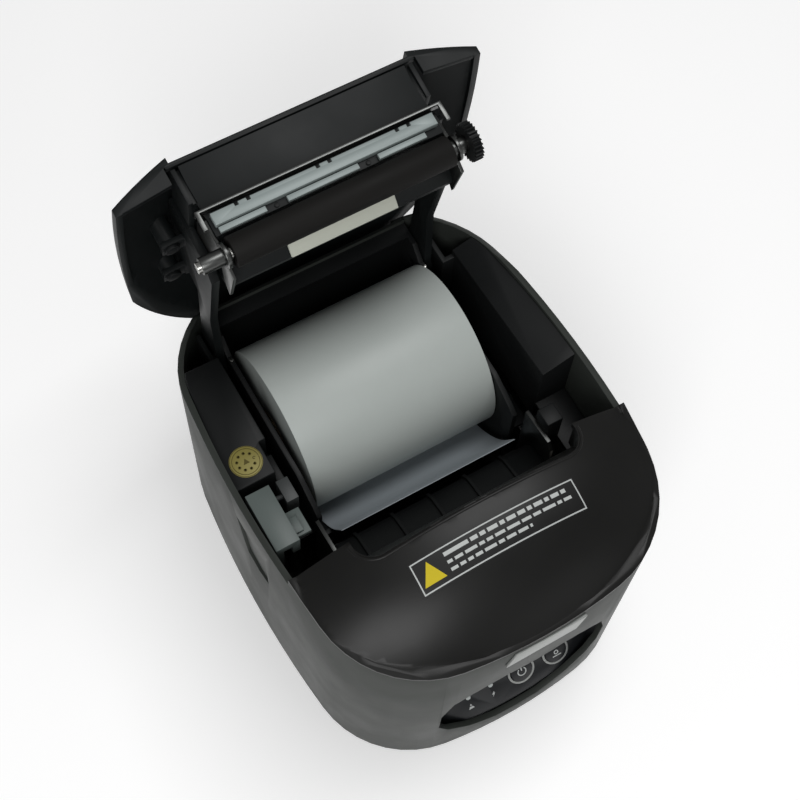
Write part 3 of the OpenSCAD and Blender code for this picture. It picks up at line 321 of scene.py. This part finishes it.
LOOKS = {
    # node: (material, edge rounding in mm)
    "base_plate": ("dark_plastic", 0.2), "rubber_feet": ("rubber", 0.8), "base_screws": ("steel", 0.1),
    "lower_shell": ("case_plastic", 0.45), "paper_bucket": ("black_plastic", 0.35),
    "left_ledge": ("black_plastic", 0.5), "right_ledge": ("black_plastic", 0.5),
    "hinge_pins": ("bright_steel", 0.2), "hinge_pin_caps": ("bright_steel", 0.15),
    "mech_sides": ("steel", 0.15), "mech_base": ("steel", 0.15), "heatsink": ("aluminium", 0.2),
    "print_head": ("ceramic", 0.15), "feed_motor": ("steel", 0.5), "motor_pinion": ("brass", 0.0),
    "idler_axle": ("steel", 0.1), "idler_gear": ("ivory_plastic", 0.0), "cutter_frame": ("steel", 0.15),
    "cutter_motor": ("steel", 0.4), "cutter_knob": ("ivory_plastic", 0.4),
    "moving_blade": ("bright_steel", 0.05), "main_board": ("board", 0.1),
    "power_inlet": ("black_plastic", 0.2), "usb_port": ("steel", 0.15), "lan_port": ("steel", 0.15),
    "drawer_port": ("black_plastic", 0.2), "front_panel": ("gloss_black", 0.2),
    "panel_board": ("board", 0.1), "button_rings": ("silver_trim", 0.12),
    "feed_button": ("gloss_black", 0.4), "power_button": ("gloss_black", 0.4),
    "led_pipes": ("clear_plastic", 0.1), "badge": ("silver_trim", 0.15),
    "lever_post": ("grey_plastic", 0.3), "latch_lever": ("lever_grey", 0.45),
    "paper_end_sensor": ("black_plastic", 0.3), "right_block": ("black_plastic", 0.4),
    "front_cover": ("cover_plastic", 0.5), "lid_shell": ("lid_plastic", 0.45),
    "lid_inner": ("lid_plastic", 0.3), "lid_screws": ("black_plastic", 0.15),
    "tear_plate": ("steel", 0.1), "fixed_blade": ("blade_grey", 0.15),
    "guide_strips": ("blade_grey", 0.15), "blade_screws": ("black_plastic", 0.1),
    "hook_brackets": ("steel", 0.15), "wiper_pad": ("felt", 0.25), "platen_sleeves": ("steel", 0.2),
    "platen_shaft": ("bright_steel", 0.2), "platen_rubber": ("rubber", 0.3),
    "platen_gear": ("black_plastic", 0.0), "roll_core": ("card", 0.2),
    "paper_roll": ("paper_wound", 0.3), "paper_tail": ("paper", 0.0),
    "cover_label": ("label_film", 0.0), "gold_sticker": ("gold_foil", 0.05),
    "paper_guide": ("black_plastic", 0.2),
}
for node, (material, edge) in LOOKS.items():
    dress(node, material, edge)

# ---------------------------------------------------------------- shapes that follow a surface

def on_cover(x, y, up=0.0):
    """A point on the front cover's crown, raised by up (mm)."""
    rho = COVER_R - ARCH_R + math.sqrt(ARCH_R ** 2 - x * x) + up
    return placed((x, y, CROWN_Z - COVER_R + math.sqrt(rho ** 2 - (y - COVER_Y) ** 2)))


def on_panel(x, v, out=0.0):
    """A point of the tilted front panel: x to the right, v up along it, out of its face (mm)."""
    c, s = math.cos(PANEL_TILT), math.sin(PANEL_TILT)
    return placed((x, -BODY_D / 2 + v * s - out * c, PANEL_Z + v * c + out * s))


def on_ledge(x, y, up=0.0):
    """A point above the left ledge's flat top (mm)."""
    return placed((x, y, LEDGE_Z + up))


def finished(bm, name):
    """The mesh of bm, with all its faces turned outwards."""
    bmesh.ops.recalc_face_normals(bm, faces=bm.faces)
    me = bpy.data.meshes.new(name)
    bm.to_mesh(me)
    bm.free()
    return me


def plate(outline, surface_point, low, high, step=1.5):
    """Thin plate over a closed outline, whose two faces follow a surface."""
    bm = bmesh.new()
    rim = []
    for i, (x0, y0) in enumerate(outline):
        x1, y1 = outline[(i + 1) % len(outline)]
        n = max(1, round(math.hypot(x1 - x0, y1 - y0) / step))
        rim += [(x0 + (x1 - x0) * k / n, y0 + (y1 - y0) * k / n) for k in range(n)]
    flat = [bm.verts.new((x, y, 0)) for x, y in rim]
    bm.faces.new(flat)
    bmesh.ops.triangulate(bm, faces=bm.faces[:])
    long_edges = [e for e in bm.edges if e.calc_length() > 2 * step and not e.is_boundary]
    bmesh.ops.subdivide_edges(bm, edges=long_edges, cuts=2, use_grid_fill=False)
    bmesh.ops.triangulate(bm, faces=bm.faces[:])
    thickness = 1.0                   # of the flat plate, before its faces go to their places
    bmesh.ops.solidify(bm, geom=bm.faces[:], thickness=thickness)
    for v in bm.verts:
        x, y, z = v.co
        v.co = surface_point(x, y, high if abs(z) < thickness / 2 else low)
    return finished(bm, "plate")


def ring_outline(x, y, r_out, r_in, n, a0, a1):
    """Outline of a part of a ring, from a0 to a1 degrees."""
    angles = [math.radians(a0 + (a1 - a0) * i / n) for i in range(n + 1)]
    outer = [(x + r_out * math.cos(a), y + r_out * math.sin(a)) for a in angles]
    inner = [(x + r_in * math.cos(a), y + r_in * math.sin(a)) for a in reversed(angles)]
    return outer + inner


def box_outline(x0, x1, y0, y1):
    """Outline of an upright rectangle."""
    return [(x0, y0), (x1, y0), (x1, y1), (x0, y1)]


def joined(name, meshes, material, body):
    """One piece from several loose plates."""
    bm = bmesh.new()
    for me in meshes:
        bm.from_mesh(me)
        bpy.data.meshes.remove(me)
    whole = bpy.data.meshes.new(name)
    bm.to_mesh(whole)
    bm.free()
    piece(name, whole, material, body)


def sweep(path, profile):
    """Closed bar along a path: the profile's points are (across, up) in mm."""
    bm = bmesh.new()
    rows = []
    for i, p in enumerate(path):
        a = path[max(0, i - 1)]
        b = path[min(len(path) - 1, i + 1)]
        along = (b - a).normalized()
        across = along.cross(Vector((0, 0, 1))).normalized()
        up = across.cross(along)
        rows.append([bm.verts.new(p + across * (q * MM) + up * (h * MM)) for q, h in profile])
    n = len(profile)
    for r0, r1 in zip(rows, rows[1:]):
        for k in range(n):
            m = (k + 1) % n
            bm.faces.new((r0[k], r0[m], r1[m], r1[k]))
    bm.faces.new(rows[0][::-1])
    bm.faces.new(rows[-1])
    return finished(bm, "sweep")


# ---------------------------------------------------------------- print on the cover's label

INK_LOW, INK_HIGH = 0.16, 0.26        # faces of the ink above the cover, mm
BORDER_IN, BORDER_W = 0.5, 0.45       # border: distance from the label's edge, width
ROWS = [  # the three rows of bars: y, height, from x, to x
    (-54.2, 1.35, -20.5, 28.5),
    (-57.0, 1.05, -20.5, 29.0),
    (-59.6, 1.05, -20.5, 11.5),
]
FIRST_BAR = 9.5                       # length of the first bar
BAR_SHORT, BAR_LONG = 1.6, 5.2        # the other bars' lengths
BAR_GAP, BAR_LEAST = 0.9, 0.8
SIGN = [(-31.0, -60.6), (-22.6, -60.6), (-26.8, -53.2)]      # plain triangle


def ink(outline, step=2.0):
    """A plate of ink on the cover's label."""
    return plate(outline, on_cover, INK_LOW, INK_HIGH, step=step)


x0, x1, y0, y1 = LABEL
border_out = BORDER_IN
border_in = BORDER_IN + BORDER_W
print_plates = [
    ink(box_outline(x0 + border_out, x1 - border_out, y0 + border_out, y0 + border_in)),
    ink(box_outline(x0 + border_out, x1 - border_out, y1 - border_in, y1 - border_out)),
    ink(box_outline(x0 + border_out, x0 + border_in, y0 + border_in, y1 - border_in)),
    ink(box_outline(x1 - border_in, x1 - border_out, y0 + border_in, y1 - border_in)),
]
random.seed(7)
for row, (y, height, start, end) in enumerate(ROWS):
    x = start
    while x < end:
        length = random.uniform(BAR_SHORT, BAR_LONG) if row or x > start else FIRST_BAR
        stop = min(x + length, end)
        if stop - x > BAR_LEAST:
            print_plates.append(ink(box_outline(x, stop, y - height / 2, y + height / 2)))
        x = stop + BAR_GAP
joined("label_print", print_plates, "white_ink", "cover")
joined("label_sign", [ink(SIGN, step=1.2)], "yellow_ink", "cover")

# ---------------------------------------------------------------- rim of the recess in the cover

RIM_OUT = 0.95                        # middle of the rim, out from the recess's edge, mm
CORNER_STEPS, FRONT_STEPS = 12, 30
RIM_PROFILE = [(-0.75, -0.25), (-0.55, 0.12), (-0.2, 0.26), (0.2, 0.26), (0.55, 0.12), (0.75, -0.25)]
RIM_SMOOTH_BELOW = 60                 # degrees


def rim_corner(x, start):
    """Points of a quarter turn around a corner of the recess, from the start angle in degrees."""
    angles = [math.radians(start + 90 * i / CORNER_STEPS) for i in range(CORNER_STEPS + 1)]
    r = RECESS_CORNER + RIM_OUT
    return [(x + r * math.cos(a), RECESS_FRONT + RECESS_CORNER + r * math.sin(a)) for a in angles]


straight = RECESS_HALF - RECESS_CORNER
rim_path = rim_corner(-straight, 180)
rim_path += [(-straight + 2 * straight * i / FRONT_STEPS, RECESS_FRONT - RIM_OUT)
             for i in range(1, FRONT_STEPS)]
rim_path += rim_corner(straight, 270)
rim = piece("recess_rim", sweep([on_cover(x, y) for x, y in rim_path], RIM_PROFILE),
            "cover_plastic", "cover")
smooth(rim, RIM_SMOOTH_BELOW)

# ---------------------------------------------------------------- marks on the front panel

MARK_LOW, MARK_HIGH = 0.02, 0.12      # faces of a mark above the deck, mm
BUTTON_MARK_HIGH = 0.10               # and above a button
MARK_BELOW_LED = 4.6                  # from a light pipe down to its mark
BOLT_SIZE = 0.85


def mark(outline):
    """A plate of ink on the control deck."""
    return plate(outline, on_panel, MARK_LOW, MARK_HIGH, step=3.0)


def bolt_mark(x, v, s):
    """Outline of a flash of lightning, s times its plain size."""
    return [(x + 0.5 * s, v + 1.5 * s), (x - 0.8 * s, v - 0.1 * s), (x - 0.05 * s, v - 0.1 * s),
            (x - 0.5 * s, v - 1.5 * s), (x + 0.8 * s, v + 0.3 * s), (x + 0.05 * s, v + 0.3 * s)]


power_led, paper_led = LED_XS
mark_v = LED_V - MARK_BELOW_LED
lamp_marks = [
    mark(bolt_mark(power_led, mark_v, BOLT_SIZE)),
    mark([(paper_led - 1.2, mark_v - 1.0), (paper_led + 1.2, mark_v - 1.0),
          (paper_led + 0.7, mark_v), (paper_led - 0.7, mark_v)]),
    mark([(paper_led - 0.5, mark_v + 0.4), (paper_led + 0.5, mark_v + 0.4),
          (paper_led, mark_v + 1.4)]),
]
joined("panel_marks", lamp_marks, "white_ink", "base")


def button_mark(outline):
    """A plate of ink on a button's face."""
    return plate(outline, on_panel, BUTTON_OUT + MARK_LOW, BUTTON_OUT + BUTTON_MARK_HIGH, step=2.0)


POWER_OUT, POWER_IN = 2.0, 1.55       # radii of the broken ring
FEED_OUT, FEED_IN = 1.0, 0.6          # radii of the ring above the short line
power_marks = [
    button_mark(ring_outline(POWER_X, BUTTON_V, POWER_OUT, POWER_IN, 14, 130, 269)),
    button_mark(ring_outline(POWER_X, BUTTON_V, POWER_OUT, POWER_IN, 14, 271, 410)),
    button_mark(box_outline(POWER_X - 0.25, POWER_X + 0.25, BUTTON_V + 0.4, BUTTON_V + 2.3)),
]
joined("power_mark", power_marks, "white_ink", "power_key")
feed_marks = [
    button_mark(ring_outline(FEED_X, BUTTON_V, FEED_OUT, FEED_IN, 20, 0, 175)),
    button_mark(ring_outline(FEED_X, BUTTON_V, FEED_OUT, FEED_IN, 20, 180, 355)),
    button_mark(box_outline(FEED_X - 1.9, FEED_X + 1.9, BUTTON_V - 1.9, BUTTON_V - 1.45)),
]
joined("feed_mark", feed_marks, "white_ink", "feed_key")

# ---------------------------------------------------------------- rings and marks on the gold sticker

PRINT_LOW, PRINT_HIGH = 0.19, 0.27    # faces of the print above the ledge, mm
STICKER_RINGS = [(5.2, 4.95), (6.0, 5.8)]
DOTS, DOTS_AT = 9, 3.3                # small broken rings, and their distance from the middle
DOT_OUT, DOT_IN = 0.62, 0.32


def print_gold(outline):
    """A plate of ink on the round sticker."""
    return plate(outline, on_ledge, PRINT_LOW, PRINT_HIGH)


sticker_marks = [
    print_gold(ring_outline(STICKER_X, STICKER_Y, r_out, r_in, 24, start, start + 178))
    for r_out, r_in in STICKER_RINGS for start in (0, 180)]
for k in range(DOTS):
    a = math.radians(360 / DOTS * k)
    x = STICKER_X + DOTS_AT * math.cos(a)
    y = STICKER_Y + DOTS_AT * math.sin(a)
    sticker_marks.append(print_gold(ring_outline(x, y, DOT_OUT, DOT_IN, 8, 20 * k, 20 * k + 280)))
sticker_marks.append(print_gold([(STICKER_X - 1.2, STICKER_Y - 0.9), (STICKER_X + 1.2, STICKER_Y - 0.9),
                                 (STICKER_X, STICKER_Y + 1.3)]))
joined("sticker_print", sticker_marks, "dark_ink", "base")

# ---------------------------------------------------------------- floor, light and camera

FLOOR_HALF, FLOOR_Z = 3.0, -0.0005    # metres
FLOOR_DARK, FLOOR_LIGHT = (0.86, 0.86, 0.86), (0.89, 0.89, 0.89)
FLOOR_GLOW = 0.3                      # keeps the floor pale under a soft light
WHITE = (1.0, 1.0, 1.0, 1)
SKY = 0.22                            # strength of the even light from all around

floor_mesh = bpy.data.meshes.new("floor")
corners = [(-1, -1), (1, -1), (1, 1), (-1, 1)]
floor_mesh.from_pydata([(FLOOR_HALF * x, FLOOR_HALF * y, FLOOR_Z) for x, y in corners], [], [(0, 1, 2, 3)])
floor = link("floor", floor_mesh)
floor_look, nt, bsdf = new_material("floor")
speck = add(nt, "ShaderNodeTexNoise", Scale=6.0, Detail=2.0)
nt.links.new(mix_colour(nt, speck.outputs["Fac"], FLOOR_DARK, FLOOR_LIGHT), bsdf.inputs["Base Color"])
bsdf.inputs["Roughness"].default_value = 0.9
bsdf.inputs["Specular IOR Level"].default_value = 0.1
bsdf.inputs["Emission Color"].default_value = WHITE
bsdf.inputs["Emission Strength"].default_value = FLOOR_GLOW
floor_mesh.materials.append(floor_look)

world = bpy.data.worlds.new("studio")
bpy.context.scene.world = world
world.use_nodes = True
background = world.node_tree.nodes["Background"]
background.inputs["Color"].default_value = WHITE
background.inputs["Strength"].default_value = SKY


def lamp(name, place, aim, size, power):
    """Soft box at a place that points at aim: size in metres, power in watts."""
    data = bpy.data.lights.new(name, "AREA")
    data.shape = "RECTANGLE"
    data.size, data.size_y = size
    data.energy = power
    o = bpy.data.objects.new(name, data)
    bpy.context.scene.collection.objects.link(o)
    o.location = place
    o.rotation_euler = (Vector(aim) - Vector(place)).to_track_quat("-Z", "Y").to_euler()


lamp("key", (-0.55, -0.75, 1.0), (0, 0, 0.06), (0.6, 0.6), 7)
lamp("over", (0.30, 0.05, 1.25), (0, -0.02, 0.08), (0.45, 0.7), 5.5)
lamp("front", (0.45, -1.1, 0.55), (0, -0.05, 0.06), (0.7, 0.4), 0.5)
bpy.context.scene.view_settings.view_transform = "Standard"

SENSOR_W = 36.0                       # mm
FRAME_PX, FOCAL_PX = 800, 1513.08     # width of the picture and focal length, in its pixels
CAMERA_PLACE = placed((-132.417, -184.686, 604.940))
CAMERA_AHEAD = Vector((0.24155463, 0.35339642, -0.90374904))
CAMERA_UP = Vector((0.43982585, 0.79029963, 0.4265908))

cam = bpy.data.cameras.new("camera")
cam.sensor_width = SENSOR_W
cam.lens = FOCAL_PX * SENSOR_W / FRAME_PX
cam.clip_start = 0.01
camera = bpy.data.objects.new("camera", cam)
bpy.context.scene.collection.objects.link(camera)
forward = CAMERA_AHEAD.normalized()
right = forward.cross(CAMERA_UP.normalized()).normalized()
up = right.cross(forward)
camera.matrix_world = Matrix((
    (right.x, up.x, -forward.x, CAMERA_PLACE.x),
    (right.y, up.y, -forward.y, CAMERA_PLACE.y),
    (right.z, up.z, -forward.z, CAMERA_PLACE.z),
    (0, 0, 0, 1)))
bpy.context.scene.camera = camera

bpy.context.view_layer.update()
